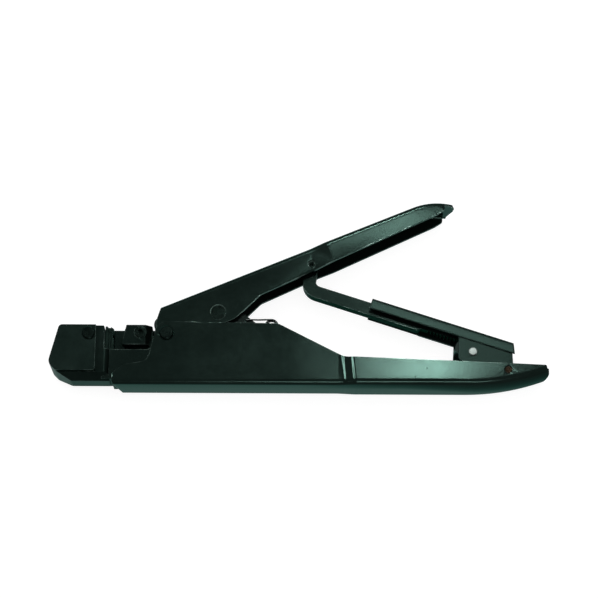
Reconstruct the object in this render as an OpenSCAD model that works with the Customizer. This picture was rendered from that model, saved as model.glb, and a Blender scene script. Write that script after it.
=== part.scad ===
/* [Lower handle] */
// Outer width of the lower channel in front of the joggle
channel_w = 20; // [19:0.5:24]
// Outer width of the lower channel over the grip
grip_w = 23; // [21:0.5:26]
// Thickness of the lower channel's sheet
channel_t = 1.5; // [1.2:0.1:2]
// Outer radius of the bends between web and walls
bend_r = 2.5; // [2:0.1:3]
// From the main pivot down to the outside of the lower web
web_drop = 25; // [24:0.1:30]
// From the main pivot to the tip of the lower grip
grip_reach = 183.2; // [165:0.2:225]
// From the lower grip's tip back to where its web starts to rise
tip_rise_len = 39.6; // [34:0.2:45]
// Radius of the rising web at the lower tip
tip_rise_r = 110; // [100:1:140]
// Radius of the walls round the main pivot
ear_r = 5.6; // [5:0.1:6]
// From the main pivot to the start of the joggle
joggle_x = 82; // [78:0.5:92]
// Length of the joggle where the channel widens
joggle_len = 8; // [6:0.5:12]

/* [Upper handle] */
// Thickness of the upper channel's sheet
upper_t = 1.4; // [1:0.1:1.6]
// From the main pivot up to the outside of the upper web
upper_web = 13.8; // [12.8:0.1:15.5]
// From the main pivot to the tip of the upper grip
upper_reach = 154.4; // [144:0.2:186]
// Radius of the curled tip of the upper web
curl_r = 31; // [28:1:44]
// From the tip back to where the upper web starts to curl
curl_len = 20; // [17:0.5:22]
// How far the upper handle stands open at rest, in degrees
open_angle = 22.8; // [21:0.1:25]
// How far the upper handle closes, in degrees
close_angle = 17; // [14:0.5:17]

/* [Nose] */
// From the main pivot to the front of the nose
nose_reach = 55.8; // [54:0.2:66]
// Width of the solid nose
nose_w = 16.8; // [16:0.1:17]
// Height of the nose's top above the main pivot
nose_top = 4; // [3.6:0.1:5]
// Thickness of the cover plate on the nose
cover_t = 1.8; // [1.2:0.1:2.4]
// Size of the chamfers along the nose's lower edges
nose_chamfer = 3.6; // [2:0.2:4.4]
// Height of the ledge beside the dies, below the main pivot
ledge_drop = 7.4; // [6.5:0.1:8.5]

/* [Ram and dies] */
// Thickness of the ram and the drive lever
ram_t = 6.4; // [5.6:0.1:6.8]
// Gap between the anvils and the crimpers when open
die_gap = 5.2; // [5:0.1:6]
// Thickness of one anvil or crimper plate
die_t = 1.5; // [1:0.1:1.8]
// From the main pivot down to the drive pin
drive_arm = 16; // [15:0.1:17]
// Radius of the drive pin
drive_pin_r = 2.2; // [1.8:0.1:2.4]

/* [Ratchet] */
// Depth of the ratchet rod
rod_depth = 6; // [5.4:0.1:6.4]
// Thickness of the ratchet rod
rod_t = 6; // [4.6:0.1:6.2]
// Pitch of the rack teeth
tooth_pitch = 1.7; // [1.4:0.1:2.2]
// Depth of the rack teeth
tooth_depth = 0.9; // [0.6:0.1:1.2]
// Width of the sleeve
sleeve_w = 14.6; // [14.2:0.1:15.4]
// Length of the sleeve
sleeve_len = 73; // [66:0.5:75]
// Thickness of the sleeve's sheet
sleeve_t = 0.8; // [0.7:0.1:1]
// Play above the rod inside the sleeve
rod_play = 0.6; // [0.6:0.05:0.9]
// From the main pivot along the upper handle to the rod's pin
rod_pin_u = 77.6; // [75.5:0.1:80]
// Height of the rod's pin above the pivot line of the upper handle
rod_pin_v = 5.6; // [5.2:0.1:6.2]
// From the lower grip's tip back to the sleeve's pin
sleeve_pin_back = 20.3; // [18.4:0.1:22.4]
// Height of the sleeve's pin above the outside of the lower web
sleeve_pin_up = 7.1; // [6.4:0.1:7.3]
// From the rod's pin down to the rod's own centre line
rod_pin_drop = 10.8; // [10.4:0.05:11.4]
// From the rod's centre line down to the sleeve's pin
sleeve_pin_drop = 10.5; // [10.2:0.1:10.8]

/* [Pins] */
// Radius of the main pivot pin
pivot_r = 3; // [2.6:0.1:3.4]
// Radius of the rivet that joins the lever to the upper handle
lever_rivet_r = 2.6; // [2:0.1:3]
// Radius of the roll pin that carries the rod
rod_pin_r = 1.6; // [1.3:0.1:1.8]
// Radius of the pin that carries the sleeve
sleeve_pin_r = 1.7; // [1.4:0.1:1.9]
// Radius of the pawl's rivet
pawl_rivet_r = 1.4; // [1.2:0.1:1.5]

/* [Fits] */
// Radial clearance of a pin in its hole
pin_fit = 0.05; // [0.02:0.01:0.08]
// Radial clearance of what is pressed or riveted in
snug = 0.02; // [0.01:0.01:0.04]
// Gap on each side between parts that slide past each other
side_gap = 0.2; // [0.15:0.01:0.3]
// Gap where plain surfaces face each other without touching
seat_gap = 0.3; // [0.2:0.05:0.4]

/* [Hidden] */
$fn = 48;

steel = [0.17, 0.22, 0.21];
dark_steel = [0.11, 0.13, 0.13];
bright_steel = [0.72, 0.74, 0.74];
die_steel = [0.40, 0.43, 0.43];

// The work is drawn with the main pivot at [0, 0], x towards the grips, y across the handles
// and z towards the near side. Half widths are counted from the middle plane.
channel_in = channel_w / 2 - channel_t;
upper_out = channel_in - side_gap;
upper_in = upper_out - upper_t;
upper_grip_out = grip_w / 2 - channel_t - side_gap;
tail_half = upper_in - side_gap / 2;
nose_half = nose_w / 2;
ram_half = ram_t / 2;
slot_half = ram_half + side_gap;
web_y = -web_drop;
floor_y = web_y + channel_t;
ledge_y = -ledge_drop;

// Arc of points about c
function arc(c, r, a0, a1, n = 8) =
    [for (i = [0:n]) let (a = a0 + (a1 - a0) * i / n) c + r * [cos(a), sin(a)]];
function unit(v) = v / norm(v);
function flat(p) = [p[0], p[1]];
// Points of a fillet of radius r at q, between the sides towards p and s
function fillet(p, q, s, r, n) =
    let (a = unit(p - q), b = unit(s - q))
    let (half = acos(a * b) / 2)
    let (c = q + unit(a + b) * r / sin(half))
    let (t0 = q + a * r / tan(half) - c, t1 = q + b * r / tan(half) - c)
    let (from = atan2(t0[1], t0[0]), turn = atan2(t0[0] * t1[1] - t0[1] * t1[0], t0 * t1))
    arc(c, r, from, from + turn, n);
// Outline with its corners rounded: each entry is [x, y] or [x, y, radius]
function rounded(pts, n = 6) =
    [for (i = [0:len(pts) - 1])
        let (q = pts[i], p = pts[(i + len(pts) - 1) % len(pts)], s = pts[(i + 1) % len(pts)])
        each (len(q) > 2 ? fillet(flat(p), flat(q), flat(s), q[2], n) : [q])];
function turned(p, a) = [p[0] * cos(a) - p[1] * sin(a), p[0] * sin(a) + p[1] * cos(a)];

// Pin centres. The upper handle's own line leaves the main pivot at open_angle.
lever_rivet_uv = [26.8, 0.6];
lever_rivet_face_r = 3.6;
rod_pin_xy = turned([rod_pin_u, rod_pin_v], open_angle);
sleeve_pin_xy = [grip_reach - sleeve_pin_back, web_y + sleeve_pin_up];
// The drive pin starts half of the closing angle past straight down
drive_pin_xy = drive_arm * [sin(close_angle / 2), -cos(close_angle / 2)];
nose_pin_xy = [-37.2, -0.2];
nose_pin_r = 2.2;
nose_pin_head_r = 3.2;

// The strut's own line: the rod's pin stands above it and the sleeve's pin below it
pin_line = sleeve_pin_xy - rod_pin_xy;
pin_step = rod_pin_drop + sleeve_pin_drop;
strut_angle = atan2(pin_line[1], pin_line[0]) + asin(pin_step / norm(pin_line));
rod_pin_s = -sqrt(norm(pin_line) ^ 2 - pin_step ^ 2);

// Dies, counted along x
crimper_face = -20.5;
anvil_face = crimper_face - die_gap;
spacer_t = 1.1;
nose_back = anvil_face - 2 * die_t - spacer_t;
ram_front = crimper_face + 2 * die_t;
shoulder_x = -27;
tail_end = 9.5;
slot_floor_y = floor_y + 1.6;
key_y = [-13, -11];
key_out = 1;

nose_low = floor_y + 0.9;
nose_outline = rounded([
    [-nose_reach + 4.4, nose_top, 2],
    [-nose_reach - 0.45, -15, 4],
    [-nose_reach + 3.2, -18.6, 3],
    [-nose_reach + 10.4, nose_low, 3],
    [nose_back, nose_low],
    [nose_back, nose_top, 0.8]
]);
x_low = min([for (p = nose_outline) p[0]]);
x_high = grip_reach;
curl_centre = turned([upper_reach - curl_len, upper_web - curl_r], open_angle);
y_high = curl_centre[1] + curl_r;
pin_tail = 1.2;
z_low = -max(channel_w / 2 + pin_tail, grip_w / 2);

// Moves the work so that the middle of its underside is the origin
module placed() {
    translate([-(x_low + x_high) / 2, -(web_y + y_high) / 2, -z_low]) children();
}
// Places what is drawn along the upper handle's line
module on_upper() {
    rotate([0, 0, open_angle]) children();
}
// Places what is drawn along the strut, from the sleeve's pin
module on_strut() {
    translate(sleeve_pin_xy) rotate([0, 0, strut_angle]) children();
}
// A plate from z0 to z1 with the outline of pts
module plate(pts, z0, z1) {
    translate([0, 0, z0]) linear_extrude(z1 - z0) polygon(pts);
}
function box(x0, y0, x1, y1) = [[x0, y0], [x1, y0], [x1, y1], [x0, y1]];
// A round bar along x from x0, on the middle plane
module along_x(x0, y, r, length) {
    translate([x0, y, 0]) rotate([0, 90, 0]) cylinder(r = r, h = length);
}
// A round bar across the tool from z0 to z1
module bar(c, r, z0, z1) {
    translate([c[0], c[1], z0]) cylinder(r = r, h = z1 - z0);
}
module tube(c, r_out, r_in, z0, z1) {
    difference() {
        bar(c, r_out, z0, z1);
        bar(c, r_in, z0 - 1, z1 + 1);
    }
}
// A pin head with a chamfered rim, standing on z0
module head(c, r, z0, h, rim = 0.5) {
    translate([c[0], c[1], z0]) cylinder(r = r, h = h - rim);
    translate([c[0], c[1], z0 + h - rim]) cylinder(r1 = r, r2 = r - rim, h = rim);
}

// Pressed channel, lying with the outside of its web on y 0 and open towards y
function u_outline(half, depth, r) =
    rounded([[0, -half, r], [depth, -half], [depth, half], [0, half, r]]);
module u_section(half, depth, t) {
    difference() {
        polygon(u_outline(half, depth, bend_r));
        translate([t, 0]) polygon(u_outline(half - t, depth + 1, bend_r - t + 0.2));
    }
}
module channel_run(x0, x1, half, depth, t) {
    translate([x0, 0, 0]) rotate([90, 0, 90]) linear_extrude(x1 - x0) u_section(half, depth, t);
}
module channel_joggle(x0, x1, half0, half1, depth, t) {
    module slice(x, half, in) {
        inner_r = bend_r - in + (in > 0 ? 0.2 : 0);
        translate([x, 0, 0]) rotate([90, 0, 90]) linear_extrude(0.001)
            translate([in, 0]) polygon(u_outline(half - in, depth + in, inner_r));
    }
    difference() {
        hull() {
            slice(x0, half0, 0);
            slice(x1 - 0.001, half1, 0);
        }
        hull() {
            slice(x0 - 0.001, half0, t);
            slice(x1, half1, t);
        }
    }
}
// The last stretch, whose web curls towards the open side on radius r
module channel_curl(x0, r, sweep, half, depth, t) {
    translate([x0, r, 0]) rotate([0, 0, -90]) rotate_extrude(angle = sweep, $fn = 240)
        translate([r, 0]) mirror([1, 0]) u_section(half, depth, t);
}
// Trims a channel's plan at its tip: round corners of radius r at x1, the far one set back by slant
module plan_trim(x0, x1, half, r, slant = 0) {
    rotate([90, 0, 0]) linear_extrude(400, center = true)
        polygon(rounded([[x0, -half], [x1 - slant, -half, r], [x1, half, r], [x0, half]]));
}

// Lower handle: walls outline from the front edge over the pivot to the tip
deck_end = joggle_x - 30;
joggle_end = joggle_x + joggle_len;
rise_x = grip_reach - tip_rise_len;
rise_sweep = asin((tip_rise_len + 1) / tip_rise_r);
tip_corner_r = 9;
web_front = -25.6;
web_slant = 4.6;
lower_outline = rounded([
    [-ear_r, 0.01, 1],
    [-9, -13.9, 4.5],
    [-19.8, -15.6, 3],
    [web_front, -19.8, 1.5],
    [web_front, web_y - 5],
    [grip_reach, web_y - 5],
    [grip_reach, web_y + 9.4, 1.6],
    [grip_reach - 20, web_y + 10.3, 20],
    [joggle_end - 4.8, web_y + 13.4, 9],
    [deck_end + 1.2, 5, 7],
    [0.01, ear_r, 1]
]);
module lower_handle() {
    color(steel) placed() difference() {
        intersection() {
            translate([0, web_y, 0]) union() {
                channel_run(-26, joggle_x, channel_w / 2, 40, channel_t);
                channel_joggle(joggle_x, joggle_end, channel_w / 2, grip_w / 2, 40, channel_t);
                channel_run(joggle_end, rise_x, grip_w / 2, 40, channel_t);
                channel_curl(rise_x, tip_rise_r, rise_sweep, grip_w / 2, 16, channel_t);
            }
            union() {
                plate(lower_outline, -channel_w, channel_w);
                bar([0, 0], ear_r, -channel_w, channel_w);
            }
            plan_trim(-30, grip_reach, channel_w, tip_corner_r + channel_w - grip_w / 2);
        }
        // The web's front edge runs back towards the far side
        rotate([90, 0, 0]) linear_extrude(100, center = true) polygon([
            [-40, channel_w / 2], [web_front, channel_w / 2], [web_front + web_slant, -channel_w / 2],
            [web_front + web_slant, -channel_w], [-40, -channel_w]
        ]);
        bar([0, 0], pivot_r + pin_fit, -channel_w, channel_w);
        bar(sleeve_pin_xy, sleeve_pin_r + pin_fit, -channel_w, channel_w);
    }
}

// Solid nose and the forked tail that lies on the floor of the lower channel
module die_frame() {
    // The nose seen from its end, with both lower edges chamfered
    end_view = [
        [nose_low, -nose_half + nose_chamfer], [nose_low + nose_chamfer, -nose_half], [20, -nose_half],
        [20, nose_half], [nose_low + nose_chamfer, nose_half], [nose_low, nose_half - nose_chamfer]
    ];
    plan_view = rounded([
        [-80, -nose_half], [shoulder_x, -nose_half], [shoulder_x, nose_half, 3], [-80, nose_half]
    ]);
    slot_end = anvil_face + 0.4;
    tail_low = nose_low + 0.6;
    tail = rounded([
        [web_front, floor_y], [tail_end, floor_y], [tail_end, -9, 3], [4, -5, 1], [-4, -5, 1],
        [-9, ledge_y], [nose_back - 1, ledge_y], [nose_back - 1, tail_low], [web_front - 0.6, tail_low]
    ]);
    color(steel) placed() difference() {
        union() {
            intersection() {
                union() {
                    plate(nose_outline, -nose_half, nose_half);
                    plate(box(nose_back - 4, nose_low, shoulder_x, ledge_y), -nose_half, nose_half);
                }
                translate([-80, 0, 0]) rotate([90, 0, 90]) linear_extrude(80) polygon(end_view);
                // Vertical edge beside the dies, rounded on the near side
                rotate([90, 0, 0]) linear_extrude(100, center = true) polygon(plan_view);
            }
            plate(tail, -tail_half, tail_half);
            bar([0, 0], ear_r, -tail_half, tail_half);
            // Wall behind the dies
            plate(box(nose_back - 1, ledge_y, -5, back_wall_y), -tail_half, -slot_half);
        }
        // Slot of the ram, open at the tail, with a keyway on each side
        plate(box(slot_end, slot_floor_y, tail_end + 1, 20), -slot_half, slot_half);
        plate(box(slot_end, key_y[0] - side_gap, tail_end + 1, key_y[1] + side_gap),
            -slot_half - key_out, slot_half + key_out);
        // Room for the drive lever between the ears
        bar([0, 0], 7, -slot_half, slot_half);
        bar([0, 0], pivot_r + pin_fit, -channel_w, channel_w);
        bar(nose_pin_xy, nose_pin_r + pin_fit, -channel_w, channel_w);
        along_x(nose_back - dowel_in, dowel_y, dowel_r + pin_fit, 20);
    }
}
back_wall_y = 4.9;
dowel_r = 1.2;
dowel_y = -2.6;
dowel_in = 4;
die_half = ram_half - 0.2;

module nose_cover() {
    color(steel) placed() difference() {
        translate([0, 0, nose_half]) linear_extrude(cover_t) intersection() {
            polygon(nose_outline);
            polygon(rounded([
                [-80, 20], [-80, nose_low + nose_chamfer + 0.4], [-33.8, nose_low + nose_chamfer + 0.4, 1],
                [-33.8, nose_top, 0.6], [-34.6, 20]
            ]));
        }
        bar(nose_pin_xy, nose_pin_r + pin_fit, 0, channel_w);
    }
}

module nose_pin() {
    color(steel) placed() {
        bar(nose_pin_xy, nose_pin_r, -nose_half, nose_half + cover_t);
        head(nose_pin_xy, nose_pin_head_r, nose_half + cover_t, 1);
    }
}

// A die plate whose outline in x and y is pts, bored for the dowel
module die_plate(pts) {
    difference() {
        plate(pts, -die_half, die_half);
        along_x(nose_back - 1, dowel_y, dowel_r + pin_fit, 20);
    }
}
spacer_back = nose_back + die_t;
wire_back = spacer_back + spacer_t;
module insulation_anvil() {
    color(die_steel) placed() die_plate([
        [nose_back, ledge_y], [spacer_back, ledge_y],
        [spacer_back, 4.4], [spacer_back - 0.6, 5.1], [nose_back, 5.1]
    ]);
}
module anvil_spacer() {
    color(dark_steel) placed() die_plate(box(spacer_back, ledge_y, wire_back, 4.4));
}
module wire_anvil() {
    color(die_steel) placed() difference() {
        die_plate([
            [wire_back, ledge_y], [anvil_face, ledge_y],
            [anvil_face, 3.8], [wire_back + 0.2, 4.8], [wire_back, 4.8]
        ]);
        bar([anvil_face + 0.5, nest_y], nest_r, -channel_w, channel_w);
    }
}
nest_y = 0;
nest_r = 1;
module anvil_dowel() {
    color(bright_steel) placed()
        along_x(nose_back - dowel_in, dowel_y, dowel_r, dowel_in + anvil_face - nose_back - 0.2);
}

module main_pivot_pin() {
    color(steel) placed() {
        bar([0, 0], pivot_r, -channel_w / 2 - pin_tail, channel_w / 2);
        head([0, 0], pivot_r + 0.5, channel_w / 2, 1.4, 0.6);
    }
}
// Open ring that holds the pivot pin at the far side
module pivot_ring() {
    color(dark_steel) placed() difference() {
        tube([0, 0], pivot_r + 1.6, pivot_r + snug, -channel_w / 2 - 0.7, -channel_w / 2);
        translate([0, pivot_r + 1, -channel_w / 2 - 0.35]) cube([2, 4, 2], center = true);
    }
}
module sleeve_pivot_pin() {
    color(dark_steel) placed() bar(sleeve_pin_xy, sleeve_pin_r, -grip_w / 2 + 0.2, grip_w / 2 - 0.2);
}

// Drawn across the channel: half widths of what hangs on the sleeve's pin
sleeve_half = sleeve_w / 2;
sleeve_in = sleeve_half - sleeve_t;
bracket_t = 1.4;
bracket_in = sleeve_in - bracket_t;
pawl_half = bracket_in - side_gap - 0.1;
pawl_in = rod_t / 2 + seat_gap;
bush_r = 2.6;
module sleeve_pin_spacers() {
    gap_out = grip_w / 2 - channel_t;
    color(dark_steel) placed() {
        for (z = [[sleeve_in, gap_out], [-bracket_in, bracket_in], [-gap_out, -sleeve_in]])
            tube(sleeve_pin_xy, bush_r, sleeve_pin_r + pin_fit, z[0] + side_gap / 2, z[1] - side_gap / 2);
    }
}

// Round wire swept along points; side is a direction that the wire never runs along
module wire(path, r, side, sides = 8) {
    last = len(path) - 1;
    rings = [for (i = [0:last])
        let (t = unit(path[min(i + 1, last)] - path[max(i - 1, 0)]))
        let (n = unit(cross(t, side)), b = cross(t, n))
        for (k = [0:sides - 1]) let (a = 360 * k / sides) path[i] + r * (cos(a) * n + sin(a) * b)];
    walls = [for (i = [0:last - 1], k = [0:sides - 1])
        let (a = i * sides + k, b = i * sides + (k + 1) % sides)
        each [[a, b, b + sides], [a, b + sides, a + sides]]];
    ends = [
        [for (k = [0:sides - 1]) sides - 1 - k],
        [for (k = [0:sides - 1]) last * sides + k]
    ];
    polyhedron(rings, concat(walls, ends));
}

// Torsion spring: its coil shows above the channel, its upper leg hooks into the lever's arm
spring_xy = [50.1, 5.6];
spring_wire_r = 0.36;
spring_mean_r = 3;
spring_turns = 3.25;
spring_pitch = 0.95;
spring_hook = [37.6, 8.2];
module return_spring() {
    z_top = ram_half + seat_gap + spring_wire_r;
    z_low = z_top - spring_turns * spring_pitch;
    steps = 14;
    // The coil winds down from its top, where the upper leg leaves
    coil = [for (i = [0:round(spring_turns * steps)])
        let (turn = i / steps, at = spring_xy + spring_mean_r * [sin(360 * turn), cos(360 * turn)])
        [at[0], at[1], z_top - turn * spring_pitch]];
    lead = [[spring_hook[0], spring_hook[1], z_top], [44, spring_xy[1] + spring_mean_r - 0.2, z_top]];
    tail = [[47.6, -8, z_low], [43, -18, z_low], [41.6, floor_y + spring_wire_r + 0.9, z_low],
        [39.5, floor_y + spring_wire_r + 0.02, z_low], [34, floor_y + spring_wire_r + 0.02, z_low]];
    color(dark_steel) placed() wire(concat(lead, coil, tail), spring_wire_r, [0, 0, 1]);
}

// Upper handle, drawn along its own line
upper_joggle = joggle_x - 2;
upper_joggle_end = upper_joggle + joggle_len;
curl_u = upper_reach - curl_len;
curl_sweep = asin(curl_len / curl_r) + 3;
upper_tip_slant = 9;
upper_corner_r = 4;
upper_outline = rounded([
    [-ear_r - 0.4, 0, 3],
    [-1.4, 9, 1],
    [2.1, upper_web - 0.6, 0.8],
    [2.8, upper_web + 5],
    [upper_reach + 5, upper_web + 5],
    [upper_reach + 5, upper_web - 9],
    [upper_reach - 1.4, upper_web - 9],
    [upper_reach - 5.4, upper_web - 5.1, 0.6],
    [upper_reach - 6.2, upper_web - 7.5, 1.5],
    [upper_reach - 11, upper_web - 8.4, 4],
    [49, 1, 5],
    [33.4, -5.4, 6],
    [3, -ear_r - 0.4, 3]
]);
module upper_handle() {
    color(steel) placed() on_upper() difference() {
        intersection() {
            translate([0, upper_web, 0]) mirror([0, 1, 0]) union() {
                channel_run(-8, upper_joggle, upper_out, 20, upper_t);
                channel_joggle(upper_joggle, upper_joggle_end, upper_out, upper_grip_out, 20, upper_t);
                channel_run(upper_joggle_end, curl_u, upper_grip_out, 20, upper_t);
                channel_curl(curl_u, curl_r, curl_sweep, upper_grip_out, 14, upper_t);
            }
            plate(upper_outline, -channel_w, channel_w);
            plan_trim(-30, upper_reach + upper_tip_slant / 4, channel_w,
                upper_corner_r + channel_w - upper_grip_out, upper_tip_slant);
        }
        bar([0, 0], pivot_r + pin_fit, -channel_w, channel_w);
        bar(lever_rivet_uv, lever_rivet_face_r + snug, -channel_w, channel_w);
        bar([rod_pin_u, rod_pin_v], rod_pin_r + pin_fit, -channel_w, channel_w);
    }
}

// Lever fixed in the upper handle: hub on the pivot, boss on the rivet, foot down to the drive pin
lever_hub_r = 6.2;
hub_knob_xy = [-2.4, 6.1];
hub_knob_r = 4.1;
lever_boss_r = 6;
foot_half = 1.5;
foot_r = drive_pin_r + 1.3;
lever_outline = rounded([
    [-3, lever_hub_r], [-2, -lever_hub_r],
    [20, -8, 8], [37.6, -14.4, 2], [43.6, -12.8, 1.5],
    [39.7, -5.9, 1.2], [36, 0, 6], [28.6, 6.4, 2], [12, lever_hub_r, 4]
]);
module drive_lever() {
    foot = turned(drive_pin_xy, -open_angle);
    side = unit([foot[1], -foot[0]]);
    color(dark_steel) placed() on_upper() difference() {
        union() {
            bar([0, 0], lever_hub_r, -ram_half, ram_half);
            bar(turned(hub_knob_xy, -open_angle), hub_knob_r, -ram_half, ram_half);
            plate(lever_outline, -ram_half, ram_half);
            bar(lever_rivet_uv, lever_boss_r, -upper_in, upper_in);
            plate([side * 3.4, foot + side * 3.1, foot - side * 3.1, -side * 3.4], -foot_half, foot_half);
            bar(foot, foot_r, -foot_half, foot_half);
        }
        bar([0, 0], pivot_r + pin_fit, -channel_w, channel_w);
        bar(lever_rivet_uv, lever_rivet_r + pin_fit, -channel_w, channel_w);
        bar(foot, drive_pin_r + snug, -channel_w, channel_w);
        bar(turned(spring_hook, -open_angle), spring_wire_r + 0.3, -channel_w, channel_w);
    }
}
module lever_rivet() {
    color(steel) placed() on_upper() {
        bar(lever_rivet_uv, lever_rivet_r, -upper_in, upper_in);
        for (z = [-upper_out, upper_in]) bar(lever_rivet_uv, lever_rivet_face_r, z, z + upper_t);
    }
}
module drive_pin() {
    color(bright_steel) placed() bar(drive_pin_xy, drive_pin_r, -ram_half, ram_half);
}
module rod_pivot_pin() {
    color(steel) placed() tube(rod_pin_xy, rod_pin_r, rod_pin_r - 0.7, -upper_out - 0.2, upper_out + 0.2);
}
module rod_spacers() {
    color(dark_steel) placed() for (z = [-upper_in + side_gap / 2, rod_t / 2 + side_gap])
        tube(rod_pin_xy, rod_pin_r + 1.1, rod_pin_r + pin_fit, z, z + upper_in - rod_t / 2 - 1.5 * side_gap);
}

// Rod and sleeve are drawn along the strut, from the sleeve's pin: s along it, h above the pin
rod_top = sleeve_pin_drop + rod_depth / 2;
rod_low = sleeve_pin_drop - rod_depth / 2;
rack_low = rod_low + 1.2;
rod_eye_h = sleeve_pin_drop + rod_pin_drop;
rod_eye_r = rod_pin_r + 1.7;
pawl_s = -26.3;
rod_end_s = pawl_s + 2.4;
rack_teeth = 9;
rack_start_s = pawl_s - 0.7 - rack_teeth * tooth_pitch;
rack_outline = [for (i = [0:rack_teeth - 1])
    let (s = rack_start_s + i * tooth_pitch)
    each [[s, rack_low + tooth_depth], [s + 0.75 * tooth_pitch, rack_low], [s + tooth_pitch, rack_low]]];
module ratchet_rod() {
    bend = rod_pin_s - 1;
    rod_outline = concat(
        rounded([
            [rod_pin_s - rod_eye_r, rod_eye_h],
            [bend, rod_low, 8.2],
            [rack_start_s - 5, rod_low, 2],
            [rack_start_s - 3.4, rack_low, 1],
            [rack_start_s - 0.01, rack_low],
            [rack_start_s - 0.01, rod_top],
            [rod_pin_s + 4.3, rod_top, 2.6],
            [rod_pin_s + rod_eye_r, rod_eye_h]
        ]));
    rack_bar = concat([[rack_start_s - 0.01, rack_low]], rack_outline, [
        [rod_end_s, rack_low], [rod_end_s, rod_top - 1], [rod_end_s - 1, rod_top],
        [rack_start_s - 0.01, rod_top]
    ]);
    color(steel) placed() on_strut() difference() {
        union() {
            plate(rod_outline, -rod_t / 2, rod_t / 2);
            plate(rack_bar, -rod_t / 2, rod_t / 2);
            bar([rod_pin_s, rod_eye_h], rod_eye_r, -rod_t / 2, rod_t / 2);
        }
        bar([rod_pin_s, rod_eye_h], rod_pin_r + pin_fit, -channel_w, channel_w);
    }
}

// Sleeve: pressed channel, open downwards, that the rod slides in
sleeve_top = rod_top + rod_play + sleeve_t;
sleeve_wall = 5.3;
sleeve_bend_r = 1.6;
sleeve_end_s = 0.7;
sleeve_end_slant = 2.2;
far_wall_more = 1.7;
module ratchet_sleeve() {
    function section(half, h0, h1, r) = rounded([[h0, -half], [h1, -half, r], [h1, half, r], [h0, half]]);
    edge = sleeve_top - sleeve_wall;
    far_edge = edge - far_wall_more;
    inner_r = sleeve_bend_r - sleeve_t + 0.2;
    // The end at the sleeve's pin is cut upright
    end_cut = [
        [sleeve_end_s, edge], [sleeve_end_s - sleeve_end_slant, sleeve_top],
        [sleeve_end_s - sleeve_end_slant, sleeve_top + 1],
        [sleeve_end_s + 1, sleeve_top + 1], [sleeve_end_s + 1, edge]
    ];
    color(steel) placed() on_strut() difference() {
        translate([sleeve_end_s - sleeve_len, 0, 0]) rotate([90, 0, 90])
            linear_extrude(sleeve_len) difference() {
                polygon(section(sleeve_half, far_edge, sleeve_top, sleeve_bend_r));
                polygon(section(sleeve_in, far_edge - 1, sleeve_top - sleeve_t, inner_r));
                // The far wall is the deeper one
                polygon(box(far_edge - 1, 0, edge, sleeve_half + 1));
            }
        plate(end_cut, -sleeve_w, sleeve_w);
    }
}
pawl_rivet_sh = [-18.6, 4.6];
bracket_top = sleeve_top - sleeve_t - 1.2;
bracket_outline = rounded([
    [-28.2, bracket_top],
    [-24, -1.2, 3],
    [-3, -3.1, 3],
    [3.1, -3.1, 2.9],
    [3.1, 2.4, 2],
    [1.2, 5.2, 1],
    [-1.6, bracket_top]
]);
// The far bracket reaches forward below the wall that it is fixed to
far_arm = [
    [-47.5, bracket_top], [-46.6, rod_low], [-28.4, rod_low],
    [-26.6, 0.6], [-22, -1], [-22, bracket_top]
];
module bracket(z0, pieces) {
    color(steel) placed() on_strut() difference() {
        for (outline = pieces) plate(outline, z0, z0 + bracket_t);
        bar([0, 0], sleeve_pin_r + pin_fit, -channel_w, channel_w);
        bar(pawl_rivet_sh, pawl_rivet_r + snug, -channel_w, channel_w);
    }
}
module bracket_near() {
    bracket(bracket_in, [bracket_outline]);
}
module bracket_far() {
    bracket(-sleeve_in, [bracket_outline, far_arm]);
}
module pawl_rivet() {
    color(bright_steel) placed() on_strut() {
        bar(pawl_rivet_sh, pawl_rivet_r, -sleeve_in, sleeve_in);
        head(pawl_rivet_sh, 2.06, sleeve_in, 0.8, 0.4);
        mirror([0, 0, 1]) head(pawl_rivet_sh, 2.06, sleeve_in, 0.8, 0.4);
    }
}

// Pawl: two ears on the rivet, a toothed bar across under the rod and a tail bar below the rivet
pawl_tip_h = rack_low - 1.7;
pawl_tail_h = 0.8;
module pawl() {
    rivet_s = pawl_rivet_sh[0];
    ear = rounded([
        [rivet_s + 2.9, pawl_rivet_sh[1]],
        [rivet_s + 2.2, pawl_rivet_sh[1] + 2.4, 1.5],
        [pawl_s - 1, pawl_tip_h + 0.6, 1],
        [pawl_s - 1.2, 3, 1],
        [pawl_s + 2.2, 2.2, 1],
        [rivet_s - 2, pawl_tail_h - 1.4, 1],
        [rivet_s + 1.6, pawl_tail_h - 1.4, 1]
    ]);
    tooth = [
        [pawl_s - 1, 3.3], [pawl_s + 1.6, 3.1], [pawl_s + 1.6, pawl_tip_h - 1.8], [pawl_s + 0.2, pawl_tip_h],
        [pawl_s - 0.3, pawl_tip_h], [pawl_s - 1, pawl_tip_h - 1]
    ];
    color(dark_steel) placed() on_strut() difference() {
        union() {
            plate(ear, pawl_in, pawl_half);
            plate(ear, -pawl_half, -pawl_in);
            plate(tooth, -pawl_half, pawl_half);
            plate(box(rivet_s - 1.4, pawl_tail_h - 1, rivet_s + 1.1, pawl_tail_h + 1), -pawl_half, pawl_half);
        }
        bar(pawl_rivet_sh, pawl_rivet_r + pin_fit, -channel_w, channel_w);
    }
}
// Small coil that pushes the pawl's tail away from the sleeve's pin
module pawl_spring() {
    wire_r = 0.25;
    mean_r = 1.3;
    s0 = pawl_rivet_sh[0] + 1.1 + wire_r + 0.05;
    s1 = -bush_r - seat_gap - wire_r;
    turns = 9;
    steps = 12;
    path = [for (i = [0:turns * steps]) let (a = 360 * i / steps)
        [s0 + (s1 - s0) * i / turns / steps, pawl_tail_h + mean_r * cos(a), mean_r * sin(a)]];
    color(dark_steel) placed() on_strut() wire(path, wire_r, [1, 0, 0], 6);
}

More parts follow.
